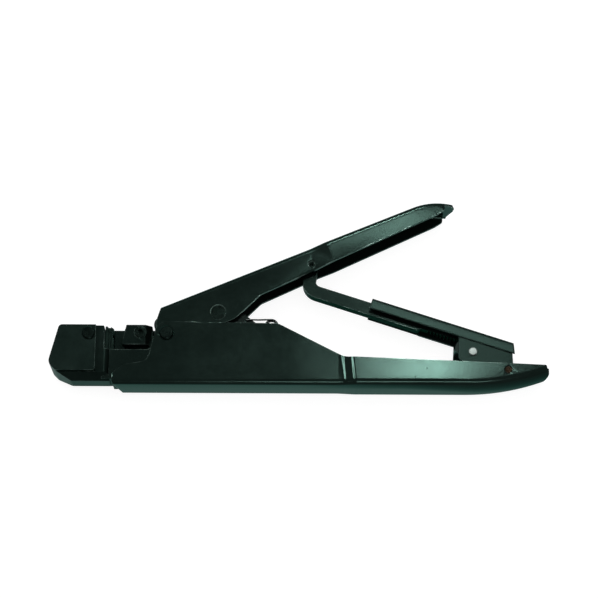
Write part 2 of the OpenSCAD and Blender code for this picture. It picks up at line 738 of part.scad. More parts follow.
// Ram: front that carries the dies, keys that run in the frame, cheeks that take the drive pin
ram_low = slot_floor_y + side_gap;
cheek_top = key_y[1];
cheek_in = foot_half + side_gap;
ram_top = 4.4;
ram_back = -7;
ram_tail_x = drive_pin_xy[0] + drive_pin_r + 3.2;
module ram() {
    ram_outline = rounded([
        [ram_front, ram_low], [ram_tail_x, ram_low], [ram_tail_x, cheek_top, 1],
        [ram_back, cheek_top, 1.5], [ram_back, ram_top, 0.5], [ram_front, ram_top, 0.5]
    ]);
    notch_half = drive_pin_r + pin_fit;
    pin_x = drive_pin_xy[0];
    pin_low = -drive_arm - drive_pin_r - 1;
    key_half = slot_half + key_out - side_gap;
    color(steel) placed() difference() {
        union() {
            plate(ram_outline, -ram_half, ram_half);
            plate(box(ram_front, key_y[0], ram_tail_x, key_y[1]), -key_half, key_half);
        }
        // Notch that the drive pin slides in, and the slot for the lever's foot
        plate(box(pin_x - notch_half, pin_low, pin_x + notch_half, 0), -channel_w, channel_w);
        plate(box(pin_x - foot_r - 4, -drive_arm - foot_r - 0.3, ram_tail_x + 1, 0), -cheek_in, cheek_in);
        bar(screw_xy, screw_r + snug, -ram_half + 1 - snug, channel_w);
        along_x(ram_front - 1, dowel_y, dowel_r + snug, 4);
    }
}
screw_xy = [-12.6, 0.9];
screw_r = 1.5;
screw_head_r = 2.9;
screw_head_h = 2.6;
holder_z = 8;

crimper_low = -5.2;
module wire_crimper() {
    color(die_steel) placed() difference() {
        plate([
            [crimper_face, crimper_low], [crimper_face + die_t, crimper_low],
            [crimper_face + die_t, 4.2], [crimper_face + 0.4, 4.2], [crimper_face, 3.8]
        ], -die_half, die_half);
        bar([crimper_face - 0.4, nest_y], nest_r, -channel_w, channel_w);
    }
}
module insulation_crimper() {
    color(die_steel) placed() {
        plate(box(crimper_face + die_t, crimper_low, ram_front, 4.2), -die_half, die_half);
        along_x(ram_front, dowel_y, dowel_r, 2.6);
    }
}
// Clamp block on the near face of the ram, leaning like the nose
module crimper_holder() {
    color(steel) placed() difference() {
        intersection() {
            plate(rounded([
                [-21.4, crimper_low, 0.4], [-8.6, crimper_low, 0.4], [-6.9, 4.5, 0.4], [-19.4, 4.5, 0.4]
            ]), ram_half, holder_z);
            rotate([90, 0, 0]) linear_extrude(100, center = true)
                polygon([[-30, 0], [-5, 0], [-5, holder_z - 5], [-10.2, holder_z], [-30, holder_z]]);
        }
        bar(screw_xy, screw_r + pin_fit, 0, channel_w);
        bar(screw_xy, screw_head_r + 0.1, holder_z - screw_head_h, channel_w);
    }
}
module holder_screw() {
    color(dark_steel) placed() difference() {
        union() {
            bar(screw_xy, screw_r, -ram_half + 1, holder_z - screw_head_h);
            bar(screw_xy, screw_head_r, holder_z - screw_head_h, holder_z - 0.1);
        }
        translate([screw_xy[0], screw_xy[1], holder_z - 1.7]) cylinder(r = 1.5, h = 3, $fn = 6);
    }
}

lower_handle();
die_frame();
nose_cover();
nose_pin();
insulation_anvil();
anvil_spacer();
wire_anvil();
anvil_dowel();
main_pivot_pin();
pivot_ring();
sleeve_pivot_pin();
sleeve_pin_spacers();
return_spring();
upper_handle();
drive_lever();
lever_rivet();
drive_pin();
rod_pivot_pin();
rod_spacers();
ratchet_rod();
ratchet_sleeve();
bracket_near();
bracket_far();
pawl_rivet();
pawl_spring();
pawl();
ram();
wire_crimper();
insulation_crimper();
crimper_holder();
holder_screw();
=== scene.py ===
"""Hand crimp tool: finishes, springs, soft edges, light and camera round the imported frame."""
import math

import bmesh
import bpy
from bpy.props import FloatProperty, FloatVectorProperty, IntProperty, PointerProperty
from bpy.types import Operator, Panel, PropertyGroup
from mathutils import Euler, Matrix, Vector


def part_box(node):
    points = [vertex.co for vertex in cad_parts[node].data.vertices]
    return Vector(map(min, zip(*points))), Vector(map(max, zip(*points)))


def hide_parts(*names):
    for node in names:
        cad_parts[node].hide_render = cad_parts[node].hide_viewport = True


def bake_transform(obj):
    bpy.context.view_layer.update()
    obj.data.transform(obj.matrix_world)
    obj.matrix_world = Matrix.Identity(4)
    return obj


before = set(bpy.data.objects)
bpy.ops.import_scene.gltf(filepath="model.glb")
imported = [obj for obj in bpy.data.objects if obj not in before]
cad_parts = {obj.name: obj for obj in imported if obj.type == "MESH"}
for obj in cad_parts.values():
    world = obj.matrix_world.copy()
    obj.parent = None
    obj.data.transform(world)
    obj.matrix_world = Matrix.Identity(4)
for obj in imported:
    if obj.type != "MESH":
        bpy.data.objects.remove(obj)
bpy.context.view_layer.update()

bl_info = {
    "name": "Hand Crimp Tool",
    "version": (1, 0, 0),
    "blender": (4, 5, 0),
    "location": "View3D > Sidebar > Crimp Tool",
    "description": "Dresses the crimp tool's solids with blacked steel, springs and studio light",
    "category": "Object",
}

MM = 0.001
# The main pivot's axis at half the tool's thickness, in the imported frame
PIVOT = Vector((-63.7026, -21.113, 11.5)) * MM
# The sleeve's pin, in millimetres from the main pivot
SLEEVE_PIN = (162.9, -17.9)
# How far the strut and the opened upper handle turn from X
STRUT_LIE = math.radians(-18.18)
OPEN_ANGLE = math.radians(22.8)
# Where the bends begin, in millimetres: from the main pivot on the handles, and from the pin's line on the sleeve
LOWER_BEND, UPPER_BEND, SLEEVE_BEND = -15.0, 8.6, 3.0
# Radius of the soft turn on the sleeve, and how much wider it is on the upper handle than on the lower one
SLEEVE_TURN, UPPER_TURN = 0.001, 1.8
# Two specks of dust on the lower grip
SPECKS = ((0.0605, -0.0385, 0.023), (0.0550, -0.0427, 0.023))
# The creases of the upper handle's step: centre, reach and radius of the soft turn
CREASES = (((0.0143, 0.0203, 0.023), 0.0045, 0.002), ((0.0061, 0.0178, 0.0205), 0.0038, 0.0016))
# Where the near wall of the lower handle steps outwards, and the heights of that step and of the web's crown
STEPS = (0.0161, 0.0206)
STEP_RISE, CROWN_RISE = 0.00047, 0.0015

# Finishes in black oxide: depth of the tone, strength of the grazing tint, scale of the clouds, width of the worn
# edges, scale and height of the ripple, and how far the wear differs from the common one
BLACKED = {
    "lower_blacking": (1.0, 0.88, 32.0, 0.0005, 700.0, 8e-6, 1.0),
    # The upper handle's edges are rubbed 2.2 times as far as the rest: partly real wear, partly painted highlight
    # along its edges
    "upper_blacking": (1.0, 1.0, 32.0, 0.0007, 700.0, 8e-6, 2.2),
    "machined_blacking": (0.46, 0.85, 70.0, 0.0004, 1500.0, 12e-6, 1.0),
    "plate_blacking": (0.68, 1.0, 70.0, 0.0004, 1500.0, 12e-6, 1.0),
    "drawn_bar": (0.40, 0.55, 60.0, 0.0004, 1800.0, 10e-6, 1.0),
    "bracket_blacking": (0.85, 0.9, 90.0, 0.0004, 1300.0, 10e-6, 1.0),
    # The sleeve's tone is set lighter than the rest partly as painted sheen, standing in for the grip card's
    # reflection on it
    "sleeve_blacking": (1.2, 0.75, 60.0, 0.0004, 1100.0, 10e-6, 1.0),
}

# Lamps: setting that holds the power, sides, place, and the way along which the second side lies. No glossy ray
# meets the softbox, and only glossy rays meet the cards.
UPWARD = (0.0, 1.0, 0.0)
SOFTBOX = ("key", (1.2, 1.2), (0.0, 0.3, 1.0), UPWARD)
CARDS = {
    "lower_grip_card": ("card", (0.068, 0.05), (0.103, 0.18, 0.8), UPWARD),
    "upper_grip_card": ("high", (0.08, 0.05), (0.074, 0.315, 0.8), (-0.35, 0.94, 0.0)),
    "front_strip": ("strip", (0.30, 0.10), (0.10, -0.75, 0.45), UPWARD),
    "side_card": ("side", (0.2, 0.3), (-0.68, 0.24, 0.66), UPWARD),
    "back_strip": ("back", (0.14, 0.03), (-0.05, 0.68, 0.8), UPWARD),
}
FLOOR_HALF, FLOOR_DEPTH = 3.0, -0.0002

# The return spring, in millimetres from the main pivot: middle of the coil, heights of its two legs' starts, and
# the points that the short leg and the long one pass through
COIL_MIDDLE, COIL_TOP = (50.1, 5.6), 3.86
COIL_TURNS, COIL_STEPS = 3.25, 28
SHORT_LEG = ((37.7, 8.3), (41.0, 8.5), (44.0, 8.45), (47.4, 8.55))
LONG_LEG = ((53.0, 4.4), (47.6, -8.0), (43.0, -18.5), (41.6, -22.22), (39.5, -23.12), (34.0, -23.12))
# The pawl's spring, in millimetres along the strut from the sleeve's pin: both ends, and how far it lies above
PAWL_END, PIN_END, PAWL_RISE = -17.2, -3.15, 0.8
PAWL_STEPS = 20


def at(x, y, z=0.0):
    """A point given in millimetres from the main pivot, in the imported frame."""
    return PIVOT + Vector((x, y, z)) * MM


def square_to(lie):
    """The way that stands square on a line at the given angle, in the plane of the tool."""
    return Vector((-math.sin(lie), math.cos(lie), 0.0))


# Sizes and colours


def tint(name, description, default):
    return FloatVectorProperty(name=name, description=description, subtype="COLOR", size=3,
                               min=0.0, max=1.0, default=default)


def size(name, description, default):
    return FloatProperty(name=name, description=description, subtype="DISTANCE", unit="LENGTH",
                         min=0.0, precision=5, default=default)


def share(name, description, default):
    return FloatProperty(name=name, description=description, min=0.0, max=1.0, default=default)


def power(name, description, default):
    return FloatProperty(name=name, description=description, unit="POWER", min=0.0, default=default)


def angle(name, description, degrees):
    return FloatProperty(name=name, description=description, subtype="ANGLE", default=math.radians(degrees))


class CrimpFinish(PropertyGroup):
    """Colours and wear of the blacked, turned and ground steel."""
    steel_dark: tint("Steel", "Base tone of the blacked steel", (0.0052, 0.0098, 0.0082))
    steel_bloom: tint("Bloom", "Lighter, greener tone that clouds the blacked steel", (0.0078, 0.0140, 0.0118))
    rim_tint: tint("Rim", "Colour that the black finish takes at a grazing view", (0.634, 0.88, 0.816))
    # Worn steel, and also the colour of the painted highlight along the upper handle's edges
    worn_steel_and_highlight: tint("Worn edge", "Steel that shows where the black has rubbed thin", (0.10, 0.14, 0.125))
    pin_dark: tint("Pins", "Tone of the turned pins and rings", (0.0020, 0.0036, 0.0030))
    pin_brown: tint("Brown pin", "Scuffed, browned end of the sleeve's pin", (0.006, 0.0042, 0.0026))
    die_grey: tint("Dies", "Ground tool steel of the anvils and crimpers", (0.0036, 0.0068, 0.0056))
    hard_steel: tint("Lever", "Hardened steel of the drive lever and the pawl", (0.006, 0.0088, 0.0078))
    rivet_bright: tint("Rivet", "Bright head of the pawl's rivet", (0.155, 0.178, 0.168))
    spring_dark: tint("Spring wire", "Oiled spring wire", (0.010, 0.013, 0.012))
    handle_gloss: share("Handle roughness", "Roughness of the pressed handles", 0.17)
    block_gloss: share("Block roughness", "Roughness of the machined nose", 0.33)
    bend: size("Bend", "Radius of the soft turn along the bends of the handles", 0.0008)
    wear: share("Edge wear", "How far the black has rubbed off the edges", 0.75)


class CrimpEdges(PropertyGroup):
    """Small radii along the edges of the solids."""
    sheet: size("Sheet edges", "Radius along the edges of the pressed sheet", 0.00022)
    block: size("Block edges", "Radius along the machined edges", 0.0003)
    fine: size("Fine edges", "Radius along the edges of pins, teeth and dies", 0.00012)
    sharp: angle("Sharp from", "Edges sharper than this are rounded", 38.0)
    steps: IntProperty(name="Steps", description="Segments across each rounded edge", min=1, max=4, default=2)


class CrimpSprings(PropertyGroup):
    """The return spring between the handles and the pawl's small spring."""
    return_wire: size("Return wire", "Radius of the return spring's wire", 0.00042)
    return_coil: size("Return coil", "Mean radius of the return spring's coil", 0.003)
    return_pitch: size("Return pitch", "Rise of the return spring's coil in one turn", 0.00095)
    pawl_wire: size("Pawl wire", "Radius of the pawl spring's wire", 0.00025)
    pawl_coil: size("Pawl coil", "Mean radius of the pawl spring's coil", 0.0013)
    pawl_turns: IntProperty(name="Pawl turns", description="Turns of the pawl spring", min=3, max=14, default=9)


class CrimpStage(PropertyGroup):
    """Camera, lamps and the pale floor."""
    aim: FloatVectorProperty(name="Aim", description="Point that the camera looks at", subtype="XYZ",
                             unit="LENGTH", size=3, default=(-0.00043, -0.00384, 0.0212))
    distance: size("Camera distance", "From the aim to the camera", 1.0)
    lens: FloatProperty(name="Lens", description="Focal length in millimetres", min=20, max=200, default=125.3)
    lean: angle("Lean", "How far the view leans off straight down", 17.5)
    pan: angle("Pan", "How far the view comes from the side", 0.0)
    roll: angle("Roll", "Turn of the picture about the line of sight", 0.25)
    floor_tone: tint("Floor", "Tone of the floor and backdrop", (0.25, 0.25, 0.25))
    floor_lift: share("Floor lift", "Light that the floor adds for the camera and in reflections", 0.89)
    sky: share("Sky", "Even light from all round", 0.42)
    key: power("Key lamp", "Power of the large lamp over the back", 6.5)
    card: power("Grip card", "Power of the card that the lower grip reflects", 2.3)
    high: power("High card", "Power of the card that the upper grip reflects", 0.9)
    back: power("Back strip", "Power of the strip that the upper bends reflect", 12.0)
    strip: power("Front strip", "Power of the strip that the lower bends reflect", 6.2)
    side: power("Side card", "Power of the card that the steps in the handles reflect", 18.0)


# Node trees


class Tree:
    """Adds nodes to a tree and links them, one call a node."""

    def __init__(self, tree):
        self.tree = tree

    def add(self, kind, links=None, **settings):
        """A node of that kind; links maps input sockets to values or to other nodes' sockets."""
        node = self.tree.nodes.new(kind)
        for key, value in settings.items():
            setattr(node, key, value)
        for key, value in (links or {}).items():
            self.join(value, node.inputs[key])
        return node

    def join(self, value, socket):
        """Gives a socket another socket's value, or a value of its own."""
        if isinstance(value, bpy.types.NodeSocket):
            self.tree.links.new(value, socket)
        elif isinstance(value, (float, int)):
            socket.default_value = value
        else:
            socket.default_value = tuple(value) + (1.0,) * (len(socket.default_value) - len(value))

    def math(self, operation, a, b=0.0, c=0.0, clamp=False):
        return self.add("ShaderNodeMath", {0: a, 1: b, 2: c}, operation=operation, use_clamp=clamp).outputs[0]

    def span(self, value, low, high, to_low=0.0, to_high=1.0):
        """Value spread from one range to another, held at its ends."""
        node = self.add("ShaderNodeMapRange", {"Value": value, "From Min": low, "From Max": high,
                                               "To Min": to_low, "To Max": to_high})
        return node.outputs["Result"]

    def mix(self, factor, a, b):
        """Colour b over colour a."""
        node = self.add("ShaderNodeMix", {0: factor, 6: a, 7: b}, data_type="RGBA", clamp_factor=True)
        return node.outputs[2]

    def place(self):
        """The point being shaded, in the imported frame."""
        return self.add("ShaderNodeTexCoord").outputs["Object"]

    def vector(self, operation, a, b=(0.0, 0.0, 0.0), output="Vector"):
        return self.add("ShaderNodeVectorMath", {0: a, 1: b}, operation=operation).outputs[output]

    def noise(self, vector, scale, detail=3.0, rough=0.55):
        links = {"Vector": vector, "Scale": scale, "Detail": detail, "Roughness": rough}
        return self.add("ShaderNodeTexNoise", links).outputs["Fac"]


COLOR, FLOAT, VECTOR = "NodeSocketColor", "NodeSocketFloat", "NodeSocketVector"


def effect(name, inputs, outputs):
    """A new node group and its Tree, with its input and output nodes."""
    group = bpy.data.node_groups.new(name, "ShaderNodeTree")
    for label, kind, value in inputs:
        socket = group.interface.new_socket(name=label, in_out="INPUT", socket_type=kind)
        socket.default_value = tuple(value) + (1.0,) if kind == COLOR else value
    for label, kind in outputs:
        group.interface.new_socket(name=label, in_out="OUTPUT", socket_type=kind)
    tree = Tree(group)
    return tree, tree.add("NodeGroupInput").outputs, tree.add("NodeGroupOutput").inputs


def blacking_effect(name):
    """Clouded black oxide: a tone that drifts between two colours, and a roughness that drifts with it."""
    t, given, out = effect(
        name, [("Dark", COLOR, (0.01, 0.02, 0.02)), ("Bloom", COLOR, (0.02, 0.03, 0.03)),
               ("Scale", FLOAT, 45.0), ("Roughness", FLOAT, 0.35), ("Drift", FLOAT, 0.08)],
        [("Color", COLOR), ("Roughness", FLOAT)])
    place = t.place()
    broad = t.noise(place, given["Scale"], 4.0, 0.6)
    fine = t.noise(place, t.math("MULTIPLY", given["Scale"], 14.0), 2.0)
    cloud = t.span(t.math("MULTIPLY_ADD", fine, 0.35, broad), 0.5, 0.95)
    t.join(t.mix(cloud, given["Dark"], given["Bloom"]), out["Color"])
    swing = t.math("MULTIPLY", t.math("SUBTRACT", cloud, 0.5), given["Drift"])
    t.join(t.math("ADD", given["Roughness"], swing, clamp=True), out["Roughness"])


def skin_effect(name):
    """Height of a thin even coat: a faint ripple with finer pits in it."""
    t, given, out = effect(name, [("Ripple", FLOAT, 900.0), ("Pits", FLOAT, 4200.0), ("Pit share", FLOAT, 0.35)],
                           [("Height", FLOAT)])
    place = t.place()
    ripple = t.noise(place, given["Ripple"], 1.5)
    pits = t.noise(place, given["Pits"], 2.0)
    t.join(t.math("MULTIPLY_ADD", pits, given["Pit share"], ripple), out["Height"])


def wear_effect(name):
    """Mask of edges where hands and use have rubbed the black thin, in patches. Where its amount is raised, it
    also serves as painted highlight along the edges.
    """
    t, given, out = effect(
        name, [("Width", FLOAT, 0.0004), ("Amount", FLOAT, 0.5), ("Patch scale", FLOAT, 160.0)], [("Mask", FLOAT)])
    bent = t.add("ShaderNodeBevel", {"Radius": given["Width"]}, samples=6).outputs["Normal"]
    face = t.add("ShaderNodeNewGeometry").outputs["Normal"]
    edge = t.span(t.vector("DOT_PRODUCT", bent, face, "Value"), 0.995, 0.86)
    patches = t.span(t.noise(t.place(), given["Patch scale"], 5.0, 0.65), 0.42, 0.66)
    t.join(t.math("MULTIPLY", t.math("MULTIPLY", edge, patches), given["Amount"], clamp=True), out["Mask"])


def grain_effect(name):
    """Fine lines along one direction, as drawn bar and ground steel have."""
    t, given, out = effect(name, [("Angle", FLOAT, 0.0), ("Fineness", FLOAT, 2600.0), ("Length", FLOAT, 0.03)],
                           [("Lines", FLOAT)])
    turn = t.add("ShaderNodeCombineXYZ", {"Z": t.math("MULTIPLY", given["Angle"], -1.0)}).outputs[0]
    turned = t.add("ShaderNodeMapping", {"Vector": t.place(), "Rotation": turn}).outputs[0]
    stretch = t.add("ShaderNodeCombineXYZ", {"X": given["Length"], "Y": 1.0, "Z": 1.0}).outputs[0]
    drawn = t.vector("MULTIPLY", turned, stretch)
    t.join(t.noise(drawn, given["Fineness"], 3.0, 0.7), out["Lines"])


def rings_effect(name):
    """Fine rings round an axis along Z, as a lathe leaves on a head."""
    t, given, out = effect(name, [("Axis", VECTOR, (0.0, 0.0, 0.0)), ("Pitch", FLOAT, 0.00022)],
                           [("Rings", FLOAT)])
    place = t.place()
    flat = t.vector("MULTIPLY", t.vector("SUBTRACT", place, given["Axis"]), (1.0, 1.0, 0.0))
    reach = t.vector("LENGTH", flat, output="Value")
    wobble = t.math("MULTIPLY", t.noise(place, 900.0, 2.0), 0.9)
    turns = t.math("ADD", t.math("DIVIDE", reach, given["Pitch"]), wobble)
    wave = t.math("SINE", t.math("MULTIPLY", turns, 2 * math.pi))
    t.join(t.math("MULTIPLY_ADD", wave, 0.5, 0.5), out["Rings"])


def bend_effect(name):
    """Radius of the soft turn along a bend: full beyond a line, and next to nothing short of it."""
    t, given, out = effect(name, [("Across", VECTOR, UPWARD), ("Line", FLOAT, 0.0), ("Radius", FLOAT, 0.0019)],
                           [("Radius", FLOAT)])
    past = t.math("SUBTRACT", t.vector("DOT_PRODUCT", t.place(), given["Across"], "Value"), given["Line"])
    t.join(t.math("MULTIPLY", t.span(past, 0.0, 0.002, 0.12, 1.0), given["Radius"]), out["Radius"])


def spot_effect(name):
    """Mask of all that lies within that distance of a centre."""
    t, given, out = effect(name, [("Centre", VECTOR, (0.0, 0.0, 0.0)), ("Size", FLOAT, 0.0003)],
                           [("Mask", FLOAT)])
    away = t.vector("DISTANCE", t.place(), given["Centre"], "Value")
    t.join(t.math("LESS_THAN", away, given["Size"]), out["Mask"])


def step_effect(name):
    """Height of the two soft turns where a pressed wall steps outwards."""
    t, given, out = effect(name, [("First", FLOAT, 0.0), ("Second", FLOAT, 0.005), ("Width", FLOAT, 0.0024)],
                           [("Height", FLOAT)])
    place = t.add("ShaderNodeSeparateXYZ", {0: t.place()}).outputs
    along = t.math("MULTIPLY_ADD", place[1], 0.1, place[0])
    turns = [t.add("ShaderNodeMapRange", {"Value": t.math("SUBTRACT", along, given[line]), "From Min": 0.0,
                                          "From Max": given["Width"]},
                   interpolation_type="SMOOTHERSTEP").outputs["Result"] for line in ("First", "Second")]
    t.join(t.math("ADD", *turns), out["Height"])


def crown_effect(name):
    """Height that lets the lower handle's web fall away towards the camera's side, most at its tip."""
    t, given, out = effect(name, [("From", FLOAT, 0.012), ("Reach", FLOAT, 0.011)], [("Height", FLOAT)])
    place = t.add("ShaderNodeSeparateXYZ", {0: t.place()}).outputs
    beyond = t.math("MULTIPLY", t.math("MAXIMUM", t.math("SUBTRACT", place[0], 0.05), 0.0), 0.2)
    above = t.math("SUBTRACT", t.math("ADD", place[2], beyond), given["From"])
    rise = t.math("MAXIMUM", t.math("DIVIDE", above, given["Reach"]), 0.0)
    fall = t.math("MULTIPLY", t.math("POWER", rise, 2.0), t.span(place[0], 0.0, 0.045, -0.15, -1.0))
    # Only the web, so that the walls beside it stay flat
    facing = t.add("ShaderNodeSeparateXYZ", {0: t.add("ShaderNodeNewGeometry").outputs["True Normal"]}).outputs[2]
    web = t.math("LESS_THAN", t.math("ABSOLUTE", facing), 0.5)
    t.join(t.math("MULTIPLY", fall, web), out["Height"])


EFFECTS = {"blacking": blacking_effect, "skin": skin_effect, "wear": wear_effect, "grain": grain_effect,
           "rings": rings_effect, "bend": bend_effect, "spot": spot_effect, "step": step_effect,
           "crown": crown_effect}


def use(t, name, **values):
    """Places a shared effect in a material with its own values."""
    label = "crimp_" + name
    if label not in bpy.data.node_groups:
        EFFECTS[name](label)
    links = {key.replace("_", " "): value for key, value in values.items()}
    return t.add("ShaderNodeGroup", links, node_tree=bpy.data.node_groups[label]).outputs


def surface(name):
    """A new material, its Tree and its Principled shader."""
    material = bpy.data.materials.new(name)
    material.use_nodes = True
    return material, Tree(material.node_tree), material.node_tree.nodes["Principled BSDF"]


def steel(name, rim):
    """A surface without the plain clear reflection, tinted at a grazing view."""
    material, t, shader = surface(name)
    t.join(0.0, shader.inputs["Specular IOR Level"])
    t.join(rim, shader.inputs["Specular Tint"])
    return material, t, shader


def feed(t, shader, **sockets):
    """Gives a shader's sockets their values, with _ for each space in a socket's name."""
    for label, value in sockets.items():
        t.join(value, shader.inputs[label.replace("_", " ")])


def bump(t, shader, height, distance, links=()):
    """Fine relief, over the plain normals or over the given ones."""
    node = t.add("ShaderNodeBump", {"Height": height, "Strength": 1.0, "Distance": distance, **dict(links)})
    t.join(node.outputs[0], shader.inputs["Normal"])


def soft_turn(t, way, line, radius, creases=()):
    """Normals that turn softly round the bend beyond that line, and round creases at those places."""
    reach = use(t, "bend", Across=way, Line=line, Radius=radius)["Radius"]
    for centre, extent, turn in creases:
        near = use(t, "spot", Centre=centre, Size=extent)["Mask"]
        reach = t.math("MAXIMUM", reach, t.math("MULTIPLY", near, turn))
    return t.add("ShaderNodeBevel", {"Radius": reach}, samples=8).outputs["Normal"]


def faded(color, times):
    """A colour made darker or lighter by that factor."""
    return [min(1.0, times * part) for part in color]


# Finishes


def blacked(name, look, gloss, grain_lie=None, bend=None, steps=None, specks=()):
    """Black oxide on steel: clouded tone, satin skin, and light edges that are rubbed steel, and on the upper
    handle also painted highlight.
    """
    depth, rim, clouds, edge, ripple, peel, rub_and_highlight = BLACKED[name]
    material, t, shader = steel(name, [rim * part for part in look.rim_tint])
    oxide = use(t, "blacking", Dark=faded(look.steel_dark, depth), Bloom=faded(look.steel_bloom, depth),
                Scale=clouds, Roughness=gloss)
    # Light edges: rubbed steel, and where the wear is raised, as on the upper handle, partly painted highlight
    worn = use(t, "wear", Width=edge, Amount=rub_and_highlight * look.wear)["Mask"]
    tone = t.mix(worn, oxide["Color"], look.worn_steel_and_highlight)
    for centre in specks:
        tone = t.mix(use(t, "spot", Centre=centre)["Mask"], tone, (0.0, 0.0, 0.0))
    height = use(t, "skin", Ripple=ripple)["Height"]
    rough = oxide["Roughness"]
    if grain_lie is not None:
        lines = use(t, "grain", Angle=grain_lie)["Lines"]
        height = t.math("MULTIPLY_ADD", lines, 0.8, height)
        rough = t.math("MULTIPLY_ADD", t.math("SUBTRACT", lines, 0.5), 0.16, rough)
        tone = t.mix(t.span(lines, 0.58, 0.75, 0.0, 0.08), tone, look.worn_steel_and_highlight)
    # Half of the light comes back as from bare metal, and half as from the dull film over it
    feed(t, shader, Base_Color=tone, Roughness=rough, Metallic=0.5)
    below = {"Normal": soft_turn(t, *bend)} if bend else {}
    if steps:
        turns = use(t, "step", First=steps[0], Second=steps[1])["Height"]
        for rise, extent in ((turns, STEP_RISE), (use(t, "crown")["Height"], CROWN_RISE)):
            below = {"Normal": t.add("ShaderNodeBump", {"Height": rise, "Distance": extent, **below}).outputs[0]}
    bump(t, shader, height, peel, below)
    return material


def turned(name, look, axis, tone, gloss):
    """Turned steel: rings round the pin's own axis, dark oxide in them and a rubbed rim."""
    material, t, shader = steel(name, look.rim_tint)
    rings = use(t, "rings", Axis=axis)["Rings"]
    oxide = use(t, "blacking", Dark=faded(tone, 0.6), Bloom=tone, Scale=240.0, Roughness=gloss)
    worn = use(t, "wear", Width=0.0003, Amount=look.wear)["Mask"]
    feed(t, shader, Base_Color=t.mix(worn, oxide["Color"], faded(tone, 2.6)),
         Roughness=t.math("MULTIPLY_ADD", rings, 0.08, oxide["Roughness"]),
         Metallic=t.span(rings, 0.0, 1.0, 0.85, 1.0))
    bump(t, shader, rings, 6e-6)
    return material


def ground(name, look, tone, gloss, lie, metallic):
    """Ground or hardened steel: straight grinding lines under a thin dark film."""
    material, t, shader = steel(name, look.rim_tint)
    lines = use(t, "grain", Angle=lie, Fineness=3800.0, Length=0.05)["Lines"]
    film = use(t, "blacking", Dark=faded(tone, 0.55), Bloom=tone, Scale=180.0, Roughness=gloss, Drift=0.12)
    worn = use(t, "wear", Width=0.00025, Amount=look.wear)["Mask"]
    feed(t, shader, Base_Color=t.mix(worn, film["Color"], faded(tone, 2.2)),
         Roughness=t.math("MULTIPLY_ADD", lines, 0.14, film["Roughness"]),
         Metallic=t.span(film["Roughness"], 0.2, 0.6, metallic, 0.85 * metallic))
    bump(t, shader, lines, 8e-6)
    return material


def wire_finish(name, look):
    """Oiled spring wire: faint drawing lines and brighter rubbed spots."""
    material, t, shader = surface(name)
    tone = look.spring_dark
    oxide = use(t, "blacking", Dark=faded(tone, 0.5), Bloom=tone, Scale=600.0, Roughness=0.3, Drift=0.15)
    rubbed = t.span(t.noise(t.place(), 900.0), 0.55, 0.7)
    feed(t, shader, Base_Color=t.mix(rubbed, oxide["Color"], faded(tone, 2.5)), Roughness=oxide["Roughness"],
         Metallic=t.span(rubbed, 0.0, 1.0, 0.8, 0.95))
    bump(t, shader, use(t, "skin", Ripple=2500.0)["Height"], 4e-6)
    return material


def dress(names, material):
    """Gives CAD solids their finish."""
    for name in names:
        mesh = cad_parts[name].data
        mesh.materials.clear()
        mesh.materials.append(material)


def soften(names, width, edges):
    """Rounds the sharp edges of CAD solids with modifiers that leave their own vertices alone."""
    for name in names:
        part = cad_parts[name]
        for polygon in part.data.polygons:
            polygon.use_smooth = True
        weld = part.modifiers.new("seams", "WELD")
        weld.merge_threshold = 1e-6
        edge = part.modifiers.new("edges", "BEVEL")
        edge.width = width
        edge.segments = edges.steps
        edge.limit_method = "ANGLE"
        edge.angle_limit = edges.sharp
        edge.miter_outer = "MITER_ARC"
        part.modifiers.new("shading", "WEIGHTED_NORMAL").weight = 100


# Springs


def smooth_path(points, steps):
    """A curve through the points, with that many steps from each to the next."""
    path = []
    for i in range(len(points) - 1):
        before, start, end = points[max(i - 1, 0)], points[i], points[i + 1]
        after = points[min(i + 2, len(points) - 1)]
        for k in range(steps):
            u = k / steps
            path.append(0.5 * (2 * start + (end - before) * u + (2 * before - 5 * start + 4 * end - after) * u ** 2
                               + (3 * start - before - 3 * end + after) * u ** 3))
    return path + [points[-1]]


def tube(name, path, radius, sides):
    """A closed round wire along the path, with an end drawn out to a point by 0.6 of its radius."""
    rings = bmesh.new()
    side = Vector((0.0, 0.0, 1.0))
    rows = []
    for i, point in enumerate(path):
        along = (path[min(i + 1, len(path) - 1)] - path[max(i - 1, 0)]).normalized()
        side = (side - along * side.dot(along)).normalized()
        up = along.cross(side)
        rows.append([rings.verts.new(point + radius * (math.cos(a) * side + math.sin(a) * up))
                     for a in (2 * math.pi * k / sides for k in range(sides))])
    for low, high in zip(rows, rows[1:]):
        for k in range(sides):
            rings.faces.new((low[k], low[(k + 1) % sides], high[(k + 1) % sides], high[k]))
    for row, inner, facing in ((rows[0], path[1], -1), (rows[-1], path[-2], 1)):
        centre = sum((v.co for v in row), Vector()) / sides
        tip = rings.verts.new(centre + (centre - inner).normalized() * 0.6 * radius)
        for k in range(sides):
            pair = (row[k], row[(k + 1) % sides])
            rings.faces.new((tip, *pair) if facing > 0 else (tip, *reversed(pair)))
    bmesh.ops.recalc_face_normals(rings, faces=rings.faces)
    mesh = bpy.data.meshes.new(name)
    rings.to_mesh(mesh)
    rings.free()
    for polygon in mesh.polygons:
        polygon.use_smooth = True
    piece = bpy.data.objects.new(name, mesh)
    bpy.context.scene.collection.objects.link(piece)
    return piece


# Operators


